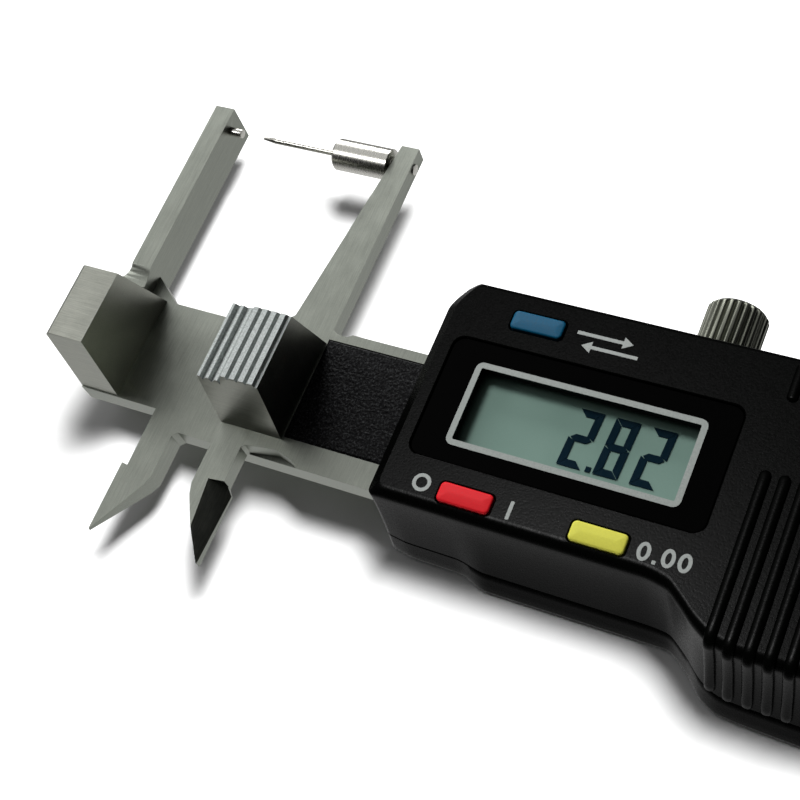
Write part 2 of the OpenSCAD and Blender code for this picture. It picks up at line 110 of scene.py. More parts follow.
def new_object(name, points, faces):
    """A mesh object from points in millimetres, with its faces turned outwards."""
    mesh = bpy.data.meshes.new(name)
    mesh.from_pydata([Vector(p) * MM for p in points], [], faces)
    skin = bmesh.new()
    skin.from_mesh(mesh)
    bmesh.ops.recalc_face_normals(skin, faces=skin.faces)
    skin.to_mesh(mesh)
    skin.free()
    made = bpy.data.objects.new(name, mesh)
    scene.collection.objects.link(made)
    return made


def combine(target, tool, operation):
    """Cuts the tool out of the target, or adds it, and removes the tool."""
    modifier = target.modifiers.new("combine", "BOOLEAN")
    modifier.operation = operation
    modifier.solver = "EXACT"
    modifier.object = tool
    graph = bpy.context.evaluated_depsgraph_get()
    mesh = bpy.data.meshes.new_from_object(target.evaluated_get(graph))
    target.modifiers.clear()
    target.data = mesh
    bpy.data.objects.remove(tool)


def cut(target, solid):
    """Takes a solid away from an object."""
    combine(target, new_object("cutter", *solid), "DIFFERENCE")


def merge(target, solid):
    """Adds a solid to an object."""
    combine(target, new_object("addition", *solid), "UNION")


def shade(piece, sharp_degrees=32):
    """Smooth shading that stays flat on flat faces and sharp at real corners."""
    piece.data.shade_smooth()
    piece.data.set_sharp_from_angle(angle=math.radians(sharp_degrees))
    even = piece.modifiers.new("even_shading", "WEIGHTED_NORMAL")
    even.keep_sharp = True
    even.weight = 100


def finish_piece(piece, material, body, stands_for=(), sharp_degrees=32):
    """Gives a piece its material, shading and body, and hides the CAD nodes that it stands for."""
    piece.data.materials.clear()
    piece.data.materials.append(material)
    shade(piece, sharp_degrees)
    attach(piece, body)
    if stands_for:
        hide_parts(*stands_for)
    return piece


def soften(node, width, degrees=35):
    """Breaks the sharp edges of a CAD node by a small rounded chamfer."""
    piece = frame["nodes"][node]
    weld = piece.modifiers.new("weld", "WELD")
    weld.merge_threshold = 0.002 * MM
    bevel = piece.modifiers.new("broken_edges", "BEVEL")
    bevel.width = width * MM
    bevel.segments = 2
    bevel.limit_method = "ANGLE"
    bevel.angle_limit = math.radians(degrees)
    bevel.use_clamp_overlap = True
    even = piece.modifiers.new("even_shading", "WEIGHTED_NORMAL")
    even.weight = 100


# ---- Outlines ----

def rounded_rectangle(low, high, radius, steps=5):
    """Points round a rectangle with rounded corners, anticlockwise, as (x, y)."""
    corners = [(high[0] - radius, low[1] + radius, 270), (high[0] - radius, high[1] - radius, 0),
               (low[0] + radius, high[1] - radius, 90), (low[0] + radius, low[1] + radius, 180)]
    points = []
    for x, y, start in corners:
        for i in range(steps + 1):
            angle = math.radians(start + 90 * i / steps)
            points.append((x + radius * math.cos(angle), y + radius * math.sin(angle)))
    return points


def at_height(outline, z):
    """An outline of (x, y) points laid at a height."""
    return [(x, y, z) for x, y in outline]


def ellipse(x, y, half_w, half_h, steps=28):
    """Points round an ellipse, anticlockwise, as (x, y)."""
    angles = [2 * math.pi * i / steps for i in range(steps)]
    return [(x + half_w * math.cos(angle), y + half_h * math.sin(angle)) for angle in angles]


def grown(low, high, radius, by):
    """A rounded rectangle made larger by the same amount on every side."""
    return rounded_rectangle((low[0] - by, low[1] - by), (high[0] + by, high[1] + by),
                             max(radius + by, 0.02))


def box_solid(low, high):
    """A plain box, used only to cut with."""
    outline = [(low[0], low[1]), (high[0], low[1]), (high[0], high[1]), (low[0], high[1])]
    return closed_rings([at_height(outline, low[2]), at_height(outline, high[2])])


def rimmed_hole(low, high, radius, bottom, rim_z, rim=0.09):
    """A tool that cuts a hole with a small chamfer where it meets a face at rim_z."""
    above = 1.0
    hole, mouth = grown(low, high, radius, 0), grown(low, high, radius, rim)
    return closed_rings([at_height(hole, bottom), at_height(hole, rim_z - rim),
                         at_height(mouth, rim_z), at_height(mouth, rim_z + above)])


def smooth_through(keys, x):
    """A curve through the keys that never overshoots them, at x."""
    if x <= keys[0][0]:
        return keys[0][1]
    if x >= keys[-1][0]:
        return keys[-1][1]
    slopes = [(b[1] - a[1]) / (b[0] - a[0]) for a, b in zip(keys, keys[1:])]
    i = max(k for k in range(len(slopes)) if keys[k][0] <= x)

    def tangent(k):
        if k == 0 or k == len(keys) - 1 or slopes[k - 1] * slopes[k] <= 0:
            return 0.0
        return 2 * slopes[k - 1] * slopes[k] / (slopes[k - 1] + slopes[k])

    span = keys[i + 1][0] - keys[i][0]
    t = (x - keys[i][0]) / span
    return ((2 * t ** 3 - 3 * t ** 2 + 1) * keys[i][1] + (t ** 3 - 2 * t ** 2 + t) * span * tangent(i)
            + (3 * t ** 2 - 2 * t ** 3) * keys[i + 1][1] + (t ** 3 - t ** 2) * span * tangent(i + 1))


# ---- Materials ----

def new_material(name, **settings):
    """A material and its node tree and shader, with the shader's uniform values set."""
    material = bpy.data.materials.new(name)
    material.use_nodes = True
    tree = material.node_tree
    shader = tree.nodes["Principled BSDF"]
    for socket, value in settings.items():
        shader.inputs[socket.replace("_", " ")].default_value = value
    return material, tree, shader


def place_in_mm(tree, stretch=(1, 1, 1)):
    """The shaded point in millimetres, scaled along each axis."""
    where = tree.nodes.new("ShaderNodeTexCoord")
    mapping = tree.nodes.new("ShaderNodeMapping")
    mapping.inputs["Scale"].default_value = [s / MM for s in stretch]
    tree.links.new(where.outputs["Object"], mapping.inputs["Vector"])
    return mapping.outputs["Vector"]


def noise_field(tree, scale, stretch=(1, 1, 1), detail=4.0, roughness=0.55):
    """Noise with about that many features in a millimetre."""
    node = tree.nodes.new("ShaderNodeTexNoise")
    node.inputs["Scale"].default_value = scale
    node.inputs["Detail"].default_value = detail
    node.inputs["Roughness"].default_value = roughness
    tree.links.new(place_in_mm(tree, stretch), node.inputs["Vector"])
    return node.outputs["Fac"]


def mapped(tree, value, low, high, to_low, to_high):
    """Value moved from one range to another and held inside it."""
    node = tree.nodes.new("ShaderNodeMapRange")
    for socket, number in zip(("From Min", "From Max", "To Min", "To Max"), (low, high, to_low, to_high)):
        node.inputs[socket].default_value = number
    tree.links.new(value, node.inputs["Value"])
    return node.outputs["Result"]


def blended(tree, value, low_colour, high_colour, start=0.3, end=0.7):
    """A colour between two colours as the value goes from start to end."""
    node = tree.nodes.new("ShaderNodeValToRGB")
    node.color_ramp.elements[0].position = start
    node.color_ramp.elements[1].position = end
    node.color_ramp.elements[0].color = (*low_colour, 1)
    node.color_ramp.elements[1].color = (*high_colour, 1)
    tree.links.new(value, node.inputs["Fac"])
    return node.outputs["Color"]


def combined(tree, operation, a, b):
    """Two values, or a value and a number, put through a maths operation."""
    node = tree.nodes.new("ShaderNodeMath")
    node.operation = operation
    for socket, value in zip(node.inputs, (a, b)):
        if isinstance(value, (int, float)):
            socket.default_value = value
        else:
            tree.links.new(value, socket)
    return node.outputs["Value"]


def weighted_sum(tree, *parts):
    """Values added up, each one multiplied by its weight first."""
    total = None
    for value, weight in parts:
        share = combined(tree, "MULTIPLY", value, weight)
        total = share if total is None else combined(tree, "ADD", total, share)
    return total


def colour_by(tree, shader, value, *colours):
    """Lets the base colour follow a value, as blended() does."""
    tree.links.new(blended(tree, value, *colours), shader.inputs["Base Color"])


def roughen_by(tree, shader, value, *ranges):
    """Lets the roughness follow a value, as mapped() does."""
    tree.links.new(mapped(tree, value, *ranges), shader.inputs["Roughness"])


def raise_by(tree, shader, height, depth, strength=1.0):
    """Bump of that depth in millimetres."""
    node = tree.nodes.new("ShaderNodeBump")
    node.inputs["Strength"].default_value = strength
    node.inputs["Distance"].default_value = depth * MM
    tree.links.new(height, node.inputs["Height"])
    tree.links.new(node.outputs["Normal"], shader.inputs["Normal"])


def tinted(colour, factor):
    """A colour made lighter or darker."""
    return tuple(min(1.0, c * factor) for c in colour)


def ground_steel(name, tint, roughness, stretch, contrast=0.16, depth=0.012):
    """Ground steel. Its fine scratches run along the axis with the small stretch."""
    material, tree, shader = new_material(name, Metallic=1.0)
    scratches = noise_field(tree, 1.0, stretch, detail=7, roughness=0.7)
    patches = noise_field(tree, 0.3, detail=3)
    speckle = noise_field(tree, 7.0, detail=2)
    worn = weighted_sum(tree, (scratches, 0.6), (patches, 0.25), (speckle, 0.15))
    colour_by(tree, shader, worn, tinted(tint, 1 - contrast), tinted(tint, 1 + contrast), 0.36, 0.64)
    roughen_by(tree, shader, worn, 0.35, 0.65, roughness - 0.07, roughness + 0.09)
    raise_by(tree, shader, combined(tree, "ADD", scratches, combined(tree, "MULTIPLY", speckle, 0.3)), depth)
    return material


def blasted_steel(name, tint):
    """Steel with a coarse grit-blasted skin."""
    material, tree, shader = new_material(name, Metallic=1.0)
    grit = noise_field(tree, 5.5, detail=5, roughness=0.7)
    colour_by(tree, shader, grit, tinted(tint, 0.72), tinted(tint, 1.25), 0.38, 0.62)
    roughen_by(tree, shader, grit, 0.3, 0.7, 0.58, 0.74)
    raise_by(tree, shader, grit, 0.06)
    return material


def turned_metal(name, tint, roughness, stretch=(30, 1, 30), depth=0.003):
    """Metal with fine rings left by turning."""
    material, tree, shader = new_material(name, Metallic=1.0)
    rings = noise_field(tree, 1.0, stretch, detail=5, roughness=0.6)
    colour_by(tree, shader, rings, tinted(tint, 0.86), tinted(tint, 1.12))
    roughen_by(tree, shader, rings, 0.3, 0.7, roughness - 0.06, roughness + 0.08)
    raise_by(tree, shader, rings, depth)
    return material


def moulded_plastic(name, colour, roughness, grain_depth, grain=5.0, lift=1.5, index=1.5, sheen=0.15):
    """Moulded plastic with a fine spark-eroded grain."""
    material, tree, shader = new_material(name, IOR=index, Specular_IOR_Level=sheen)
    texture = noise_field(tree, grain, detail=3, roughness=0.6)
    clouds = noise_field(tree, 0.25, detail=2)
    mixed = weighted_sum(tree, (texture, 0.6), (clouds, 0.4))
    colour_by(tree, shader, mixed, colour, tinted(colour, lift), 0.35, 0.65)
    roughen_by(tree, shader, texture, 0.3, 0.7, roughness - 0.06, roughness + 0.08)
    raise_by(tree, shader, texture, grain_depth)
    return material


def gloss_plastic(name, colour, roughness, sheen=0.22):
    """Polished plastic with faint ripples and wipe marks."""
    material, tree, shader = new_material(name, IOR=1.5, Specular_IOR_Level=sheen)
    ripples = noise_field(tree, 0.4, detail=3)
    wipes = noise_field(tree, 1.0, (6, 0.5, 6), detail=4)
    colour_by(tree, shader, ripples, colour, tinted(colour, 1.3))
    roughen_by(tree, shader, wipes, 0.35, 0.65, roughness * 0.8, roughness * 1.3)
    raise_by(tree, shader, ripples, 0.004)
    return material


def printed_ink(name, colour):
    """Screen-printed ink with small gaps in its cover."""
    material, tree, shader = new_material(name, IOR=1.45)
    cover = noise_field(tree, 6.0, detail=4)
    colour_by(tree, shader, cover, tinted(colour, 0.86), tinted(colour, 1.06), 0.35, 0.6)
    roughen_by(tree, shader, cover, 0.3, 0.7, 0.5, 0.66)
    raise_by(tree, shader, cover, 0.006)
    return material


def glint_painted_rubber(name):
    """Black granular sheet; the grey on its raised grains is a painted highlight, painted glints."""
    material, tree, shader = new_material(name, IOR=1.5, Specular_IOR_Level=0.12)
    grains = noise_field(tree, 4.2, detail=2, roughness=0.5)
    fine = noise_field(tree, 9.0, detail=2)
    both = weighted_sum(tree, (grains, 0.55), (fine, 0.45))
    # Painted highlight: grey painted where the grains rise, standing in for glints
    colour_by(tree, shader, both, (0.004, 0.004, 0.005), (0.13, 0.135, 0.14), 0.5, 0.74)
    roughen_by(tree, shader, fine, 0.3, 0.7, 0.34, 0.6)
    raise_by(tree, shader, both, 0.05)
    return material


def display_glass(name):
    """The grey-green reflecting layer of a liquid crystal display."""
    material, tree, shader = new_material(name, IOR=1.5, Specular_IOR_Level=0.15)
    clouds = noise_field(tree, 0.12, detail=2)
    frost = noise_field(tree, 12.0, detail=2)
    mixed = weighted_sum(tree, (clouds, 0.7), (frost, 0.3))
    colour_by(tree, shader, mixed, (0.155, 0.255, 0.215), (0.19, 0.3, 0.255), 0.35, 0.65)
    roughen_by(tree, shader, frost, 0.3, 0.7, 0.55, 0.65)
    return material


def circuit_green(name):
    """Solder mask over faint copper tracks."""
    material, tree, shader = new_material(name, IOR=1.5)
    tracks = tree.nodes.new("ShaderNodeTexBrick")
    tracks.inputs["Scale"].default_value = 0.5
    tracks.inputs["Mortar Size"].default_value = 0.06
    tracks.inputs["Color1"].default_value = (0.02, 0.12, 0.06, 1)
    tracks.inputs["Color2"].default_value = (0.02, 0.11, 0.055, 1)
    tracks.inputs["Mortar"].default_value = (0.05, 0.2, 0.1, 1)
    tree.links.new(place_in_mm(tree), tracks.inputs["Vector"])
    tree.links.new(tracks.outputs["Color"], shader.inputs["Base Color"])
    roughen_by(tree, shader, noise_field(tree, 2.0), 0.3, 0.7, 0.3, 0.45)
    return material


ALONG_X = (0.3, 9, 9)
ALONG_Y = (9, 0.3, 9)
STEEL_TINT = (0.405, 0.428, 0.378)
MATERIALS = {
    "satin_steel": ground_steel("satin_steel", STEEL_TINT, 0.4, ALONG_Y, contrast=0.2),
    "block_steel": ground_steel("block_steel", (0.48, 0.492, 0.435), 0.38, ALONG_X,
                                contrast=0.22, depth=0.016),
    "blasted_steel": blasted_steel("blasted_steel", (0.5, 0.53, 0.52)),
    "screw_steel": turned_metal("screw_steel", (0.5, 0.5, 0.48), 0.3),
    "pin_steel": turned_metal("pin_steel", (0.7, 0.69, 0.64), 0.24, (30, 2, 2), 0.0008),
    "brass": turned_metal("brass", (0.6, 0.42, 0.18), 0.3),
    "cell_steel": turned_metal("cell_steel", (0.6, 0.6, 0.58), 0.25, (4, 4, 4)),
    "knob_metal": turned_metal("knob_metal", (0.3, 0.31, 0.26), 0.42, (20, 2, 20)),
    "black_plastic": moulded_plastic("black_plastic", (0.0008, 0.0009, 0.0008), 0.28, 0.012,
                                     index=1.2, sheen=0.25),
    "gloss_black": gloss_plastic("gloss_black", (0.0006, 0.0006, 0.0006), 0.12, 0.03),
    "grain_black": glint_painted_rubber("grain_black"),
    "button_red": moulded_plastic("button_red", (0.72, 0.010, 0.018), 0.55, 0.01, lift=1.1),
    "button_yellow": moulded_plastic("button_yellow", (0.7, 0.68, 0.09), 0.55, 0.01, lift=1.08),
    "button_blue": moulded_plastic("button_blue", (0.0005, 0.075, 0.15), 0.5, 0.012, lift=1.35),
    "lcd": display_glass("lcd"),
    "figures": gloss_plastic("figures", (0.003, 0.012, 0.02), 0.7, 0.02),
    "ink": printed_ink("ink", (0.36, 0.385, 0.37)),
    "border_ink": printed_ink("border_ink", (0.3, 0.33, 0.31)),
    "board_green": circuit_green("board_green"),
    "scale_film": printed_ink("scale_film", (0.5, 0.5, 0.46)),
    "chip_epoxy": gloss_plastic("chip_epoxy", (0.01, 0.01, 0.01), 0.25),
    "elastomer": moulded_plastic("elastomer", (0.5, 0.46, 0.38), 0.6, 0.01, lift=1.1),
}

# ---- Carried-over CAD nodes ----

for part in frame["record"]["subparts"]:
    piece = frame["nodes"][part["node"]]
    piece.data.materials.clear()
    piece.data.materials.append(MATERIALS[part["material_slot"]])

EDGE_WIDTHS = {
    "beam": 0.1, "slider_frame": 0.1, "fixed_block": 0.09, "retaining_plate": 0.08, "end_stop": 0.12,
    "anvil_pin": 0.08, "needle_holder": 0.12, "holder_stud": 0.05, "battery_lid": 0.12, "moving_block": 0.05,
}
for node_name, edge_width in EDGE_WIDTHS.items():
    soften(node_name, edge_width)


TEETH_HEIGHT = 2.6


def put_blasted_top():
    """The toothed top of the moving block is blasted; its sides are ground."""
    block = frame["nodes"]["moving_block"]
    block.data.materials.append(MATERIALS["blasted_steel"])
    teeth_z = (box_mm("moving_block")[1].z - TEETH_HEIGHT) * MM
    for face in block.data.polygons:
        if face.center.z > teeth_z and face.normal.z > 0.2 and abs(face.normal.y) < 0.2:
            face.material_index = 1


put_blasted_top()


# ---- Outer surface of the housing ----

FRONT_Y, TOP_Y = -9.0, 15.0
LEFT_BEVEL, LEFT_BEVEL_DROP = 1.05, 0.95
EDGE_RADIUS, TOP_RADIUS, END_RADIUS = 1.1, 0.5, 0.4
CORNER_RADIUS = 0.7
FRONT_EDGE = [(LEFT, FRONT_Y), (60.2, FRONT_Y), (62.6, -9.4), (64.2, -10.5), (66.1, -12.0), (68.2, -13.1),
              (70.4, -13.45), (80, -13.4), (86, -12.6), (RIGHT, -10.8)]
BACK_EDGE = [(LEFT, -10.2), (36, -10.7), (41, -10.8), (44.4, -11.8), (62.4, -11.8), (64.8, -13.2),
             (67, -15.3), (69, -16.15), (72, -16.35), (79, -16.55), (86, -15.6), (RIGHT, -12.6)]
FLARE_POWER = 1.7


def end_rounding(x, left, right):
    """How far a side draws in where it meets the ends of the housing."""
    near = min(x - left, right - x)
    if near >= CORNER_RADIUS:
        return 0.0
    return CORNER_RADIUS - math.sqrt(max(0.0, CORNER_RADIUS ** 2 - (CORNER_RADIUS - near) ** 2))


def fillet(radius, drop):
    """How far a surface draws in at that drop below a rounded edge."""
    if drop >= radius:
        return 0.0
    return radius - math.sqrt(max(0.0, radius ** 2 - (radius - drop) ** 2))


def low_side(x, drop):
    """Y of the housing's lower side, which flares out towards the back."""
    flare = (drop / DEPTH) ** FLARE_POWER
    front, back = smooth_through(FRONT_EDGE, x), smooth_through(BACK_EDGE, x)
    return front + (back - front) * flare + fillet(EDGE_RADIUS, drop)


def high_side(x, drop, left):
    """Y of the housing's upper side, with its cut corner on the left."""
    cut_corner = 12.4 + (x - left) * 3.0 / 1.8
    return min(TOP_Y + 0.4 * drop / DEPTH - fillet(TOP_RADIUS, drop), cut_corner)


END_STEPS = [0.0, 0.04, 0.14, 0.3, 0.5, 0.7]
CUT_CORNER_X = 1.8
X_STEP = 0.45


def housing_stations():
    """Distances from the left end at which the housing's outline has points."""
    length = RIGHT - LEFT
    middle = [CUT_CORNER_X + i * X_STEP for i in range(int((length - CUT_CORNER_X - 1) / X_STEP))]
    return END_STEPS + [1.2] + middle + [length - s for s in reversed(END_STEPS)]


def housing_ring(drop, inset=0.0):
    """The housing's outline at a drop below its face, drawn in by inset."""
    left = LEFT + inset + max(0.0, LEFT_BEVEL * (1 - drop / LEFT_BEVEL_DROP))
    right = RIGHT - inset - fillet(END_RADIUS, drop)
    scale = (right - left) / (RIGHT - LEFT)
    xs = [left + s * scale for s in housing_stations()]
    low = [(x, low_side(x, drop) + end_rounding(x, left, right) + inset, FACE_Z - drop) for x in xs]
    high = [(x, high_side(x, drop, left) - end_rounding(x, left, right) - inset, FACE_Z - drop) for x in xs]
    return low + high[::-1]


RIB_PITCH, RIB_HALF_WIDTH, RIB_COUNT = 1.75, 0.55, 6
RIB_X = 67.875
RIB_ROOT = 0.35
RIB_SIDES = 10
RIB_END_STEPS = (0.0, 0.03, 0.1, 0.22, 0.38)


def rib_ring(x, y, z, normal, size):
    """A rounded rib's section at a point of the surface, across its outward normal in Y and Z."""
    ring = []
    for i in range(RIB_SIDES + 1):
        angle = math.pi * i / RIB_SIDES
        up = RIB_HEIGHT * size * math.sin(angle) ** 0.7
        ring.append((x + RIB_HALF_WIDTH * size * math.cos(angle), y + normal[0] * up, z + normal[1] * up))
    for side in (-1, 1):
        ring.append((x + side * RIB_HALF_WIDTH * size, y - normal[0] * RIB_ROOT, z - normal[1] * RIB_ROOT))
    return ring


def rib_path(x, start_y, end_drop):
    """Points (y, z) down the face, over the edge and down the side at x."""
    path = [(start_y - step, FACE_Z) for step in RIB_END_STEPS]
    start, edge = start_y - RIB_HALF_WIDTH, low_side(x, 0.0) + 0.1
    count = 16
    path += [(start + (edge - start) * i / count, FACE_Z) for i in range(count)]
    drop = 0.0
    while drop < end_drop - RIB_HALF_WIDTH:
        path.append((low_side(x, drop), FACE_Z - drop))
        drop += 0.1 if drop < EDGE_RADIUS else 0.5
    path += [(low_side(x, end_drop - step), FACE_Z - end_drop + step) for step in reversed(RIB_END_STEPS)]
    return path


def short_rib_path(high_y, low_y):
    """Points of a straight rib on the face, from its upper to its lower end."""
    path = [(high_y - step, FACE_Z) for step in RIB_END_STEPS]
    return path + [(low_y + step, FACE_Z) for step in reversed(RIB_END_STEPS)]


def swept_rib(x, path):
    """A rib along a path of (y, z), with rounded ends."""
    rings = []
    travelled = 0.0
    lengths = [math.dist(a, b) for a, b in zip(path, path[1:])]
    total = sum(lengths)
    for i, (y, z) in enumerate(path):
        before, after = path[max(i - 1, 0)], path[min(i + 1, len(path) - 1)]
        along = Vector((after[0] - before[0], after[1] - before[1])).normalized()
        near_end = min(travelled, total - travelled)
        size = math.sqrt(max(0.02, 1 - max(0.0, 1 - near_end / RIB_HALF_WIDTH) ** 2))
        rings.append(rib_ring(x, y, z, (-along.y, along.x) if along.x > 0 else (along.y, -along.x), size))
        travelled += lengths[i] if i < len(lengths) else 0
    return closed_rings(rings)


WALL = 1.0
PLATE_GAP = 0.12
BOARD_LOW_Y = -8.6
INNER_LOW_Y, INNER_HIGH_Y = -8.65, 14.2
CHANNEL_LOW_Y, CHANNEL_HIGH_Y = -7.8, 7.9
RIB_TOP_Y = 3.4
SHORT_RIB_TOP_Y, SHORT_RIB_END_Y = 14.32, 10.4
WINDOW_RADIUS, SLOT_RADIUS = 1.2, 0.5
WINDOW_FIT, HOLDER_FIT, SLOT_FIT, LID_FIT = 0.06, 0.1, 0.12, 0.05
FACE_DROPS = [0, 0.03, 0.1, 0.22, 0.4, 0.62, 0.85, LEFT_BEVEL_DROP, 1.4, 2.2, 3.2, 4.4, 5.8, 7.2, 8.3]
SPLIT_LIP, SPLIT_INSET = 0.12, 0.1


def widened(low, high, by):
    """The X and Y of two corners, each moved outwards by the same amount."""
    return (low.x - by, low.y - by), (high.x + by, high.y + by)


def build_housing():
    """The front shell: outline, ribs, display recess, button slots, battery bay and channel."""
    split_drop = FACE_Z - SPLIT_Z
    rings = [housing_ring(drop) for drop in FACE_DROPS]
    rings += [housing_ring(split_drop - SPLIT_LIP), housing_ring(split_drop, SPLIT_INSET)]
    shell = new_object("housing_shell", *closed_rings(rings))
    for i in range(RIB_COUNT):
        x = RIB_X + i * RIB_PITCH
        merge(shell, swept_rib(x, rib_path(x, RIB_TOP_Y, split_drop - 0.3)))
        merge(shell, swept_rib(x, short_rib_path(SHORT_RIB_TOP_Y, SHORT_RIB_END_Y)))
    plate_top = frame_high.z + PLATE_GAP
    cut(shell, box_solid((LEFT + WALL, BOARD_LOW_Y, plate_top - 1),
                         (RIGHT - WALL, INNER_HIGH_Y, FACE_Z - WALL)))
    cut(shell, box_solid((LEFT + WALL, INNER_LOW_Y, SPLIT_Z - 3),
                         (RIGHT - WALL, INNER_HIGH_Y, plate_top - 0.5)))
    cut(shell, box_solid((LEFT - 2, CHANNEL_LOW_Y, SPLIT_Z - 3.1), (RIGHT + 2, CHANNEL_HIGH_Y, plate_top)))
    cut(shell, rimmed_hole(*widened(window_low, window_high, WINDOW_FIT), WINDOW_RADIUS,
                           window_low.z - 0.1, FACE_Z))
    recess_low, recess_high = widened(holder_low, holder_high, HOLDER_FIT)
    cut(shell, box_solid((*recess_low, holder_low.z - 1), (*recess_high, FACE_Z - 0.5)))
    for node in ("button_power", "button_zero", "button_unit"):
        low, high = box_mm(node)
        cut(shell, rimmed_hole(*widened(low, high, SLOT_FIT), SLOT_RADIUS, low.z - 2, FACE_Z))
    cut(shell, box_solid((lid_low.x - LID_FIT, lid_low.y + 0.6, FACE_Z - 2.5),
                         (RIGHT + 1, lid_high.y - 0.6, FACE_Z + 1)))
    cut(shell, box_solid((lid_low.x - LID_FIT, lid_low.y - 0.08, lid_low.z - LID_FIT),
                         (RIGHT + 1.1, lid_high.y + 0.08, lid_low.z + 0.4)))
    return finish_piece(shell, MATERIALS["black_plastic"], "slider", ("housing",))


POCKET_X = box_mm("retaining_plate")[0].x - 0.5
POCKET_LOW_Y, POCKET_HIGH_Y = -8.7, 10.2
COVER_FLOOR, COVER_EDGE = 1.2, 0.6
SCREW_HOLE_RADIUS = 0.53
COUNTERSINK_DEPTH = 0.65


def screw_boxes(node):
    """The low and high corner of each separate screw of a node, in order of place."""
    skin = bmesh.new()
    skin.from_mesh(frame["nodes"][node].data)
    bmesh.ops.remove_doubles(skin, verts=skin.verts, dist=1e-7)
    left, boxes = set(skin.verts), []
    place = frame["nodes"][node].matrix_world
    while left:
        group, edge = set(), [left.pop()]
        while edge:
            vertex = edge.pop()
            group.add(vertex)
            for line in vertex.link_edges:
                other = line.other_vert(vertex)
                if other in left:
                    left.remove(other)
                    edge.append(other)
        points = [place @ v.co / MM for v in group]
        boxes.append((Vector([min(p[k] for p in points) for k in range(3)]),
                      Vector([max(p[k] for p in points) for k in range(3)])))
    skin.free()
    # A set gives them in any order, and the order of the cuts changes the mesh
    return sorted(boxes, key=lambda box: tuple(box[0]))


def cone_solid(x, y, low_z, high_z, low_radius, high_radius):
    """A round tool along Z, used to cut with."""
    return closed_rings([at_height(ellipse(x, y, low_radius, low_radius), low_z),
                         at_height(ellipse(x, y, high_radius, high_radius), high_z)])


def build_cover():
    """The back shell, with its screws' countersinks and the pocket for the slider's frame."""
    first = FACE_Z - cover_high.z
    last = FACE_Z - BACK_Z
    rings = [housing_ring(first, SPLIT_INSET), housing_ring(first + SPLIT_LIP)]
    rings += [housing_ring(drop) for drop in (first + 0.8, first + 1.6, last - COVER_EDGE)]
    rings += [housing_ring(last - drop, fillet(COVER_EDGE, drop)) for drop in (0.38, 0.2, 0.08, 0.0)]
    shell = new_object("back_shell", *closed_rings(rings))
    for screw in screw_boxes("back_cover_screws"):
        centre, radius = (screw[0] + screw[1]) / 2, (screw[1].x - screw[0].x) / 2 + 0.05
        cut(shell, cone_solid(centre.x, centre.y, BACK_Z - 0.01, BACK_Z + COUNTERSINK_DEPTH,
                              radius, SCREW_HOLE_RADIUS))
        cut(shell, cone_solid(centre.x, centre.y, BACK_Z + 0.5, cover_high.z + 1,
                              SCREW_HOLE_RADIUS, SCREW_HOLE_RADIUS))
    cut(shell, box_solid((POCKET_X, POCKET_LOW_Y, BACK_Z + COVER_FLOOR),
                         (RIGHT - 1, POCKET_HIGH_Y, cover_high.z + 1)))
    return finish_piece(shell, MATERIALS["black_plastic"], "slider", ("back_cover",))


build_housing()
build_cover()


# ---- Display ----

BORDER_WIDTH = 0.6
BORDER_RAISE = 0.05
LCD_DEPTH = 0.95


def frame_solid(low, high, radius, width, inner_radius, bottom, top):
    """A flat rectangular ring."""
    outer = rounded_rectangle(low, high, radius)
    inner = rounded_rectangle((low[0] + width, low[1] + width), (high[0] - width, high[1] - width),
                              inner_radius)
    return ring_solid(outer, inner, bottom, top)


def ring_solid(outer, inner, bottom, top):
    """A flat ring between two outlines that have as many points."""
    count = len(outer)
    points = (at_height(outer, bottom) + at_height(inner, bottom)
              + at_height(outer, top) + at_height(inner, top))
    faces = []
    for i in range(count):
        j = (i + 1) % count
        faces.append([i, j, count + j, count + i])
        faces.append([2 * count + i, 3 * count + i, 3 * count + j, 2 * count + j])
        faces.append([i, 2 * count + i, 2 * count + j, j])
        faces.append([count + i, count + j, 3 * count + j, 3 * count + i])
    return points, faces


def build_window():
    """The gloss panel round the display."""
    low, high = (window_low.x, window_low.y), (window_high.x, window_high.y)
    levels = [(window_low.z, 0.0), (window_high.z - 0.12, 0.0),
              (window_high.z - 0.03, -0.04), (window_high.z, -0.12)]
    panel = new_object("window_frame", *closed_rings([at_height(grown(low, high, WINDOW_RADIUS, by), z)
                                                      for z, by in levels]))
    hole_low = (glass_low.x + BORDER_WIDTH, glass_low.y + BORDER_WIDTH)
    hole_high = (glass_high.x - BORDER_WIDTH, glass_high.y - BORDER_WIDTH)
    cut(panel, rimmed_hole(hole_low, hole_high, 0.12, window_low.z - 1, window_high.z, rim=0.04))
    finish_piece(panel, MATERIALS["gloss_black"], "slider", ("window_panel",))
    border = frame_solid((glass_low.x, glass_low.y), (glass_high.x, glass_high.y), 0.75, BORDER_WIDTH, 0.14,
                         window_high.z - 0.02, window_high.z + BORDER_RAISE)
    finish_piece(new_object("display_border", *border), MATERIALS["border_ink"], "slider")


def build_cell():
    """The display's reflecting layer, lying under the clear thickness of its glass."""
    low, high = (glass_low.x, glass_low.y), (glass_high.x, glass_high.y)
    top = glass_high.z - LCD_DEPTH
    cell = closed_rings([at_height(grown(low, high, 0.2, by), z)
                         for z, by in ((glass_low.z, 0), (top - 0.05, 0), (top, -0.05))])
    finish_piece(new_object("display_cell", *cell), MATERIALS["lcd"], "slider", ("lcd_glass",))
    return top


SEGMENT_T = 0.74
DIGIT_W, DIGIT_H = 2.42, 6.05
DIGIT_PITCH = 3.55
DIGIT_SLANT = 0.055
SEGMENT_GAP = 0.03
READING = "282"
DOT_BACK, DOT_W, DOT_H, DOT_LEAN = 0.75, 0.5, 0.55, 0.03
SEGMENTS = {"2": "abged", "8": "abcdefg", "0": "abcdef"}


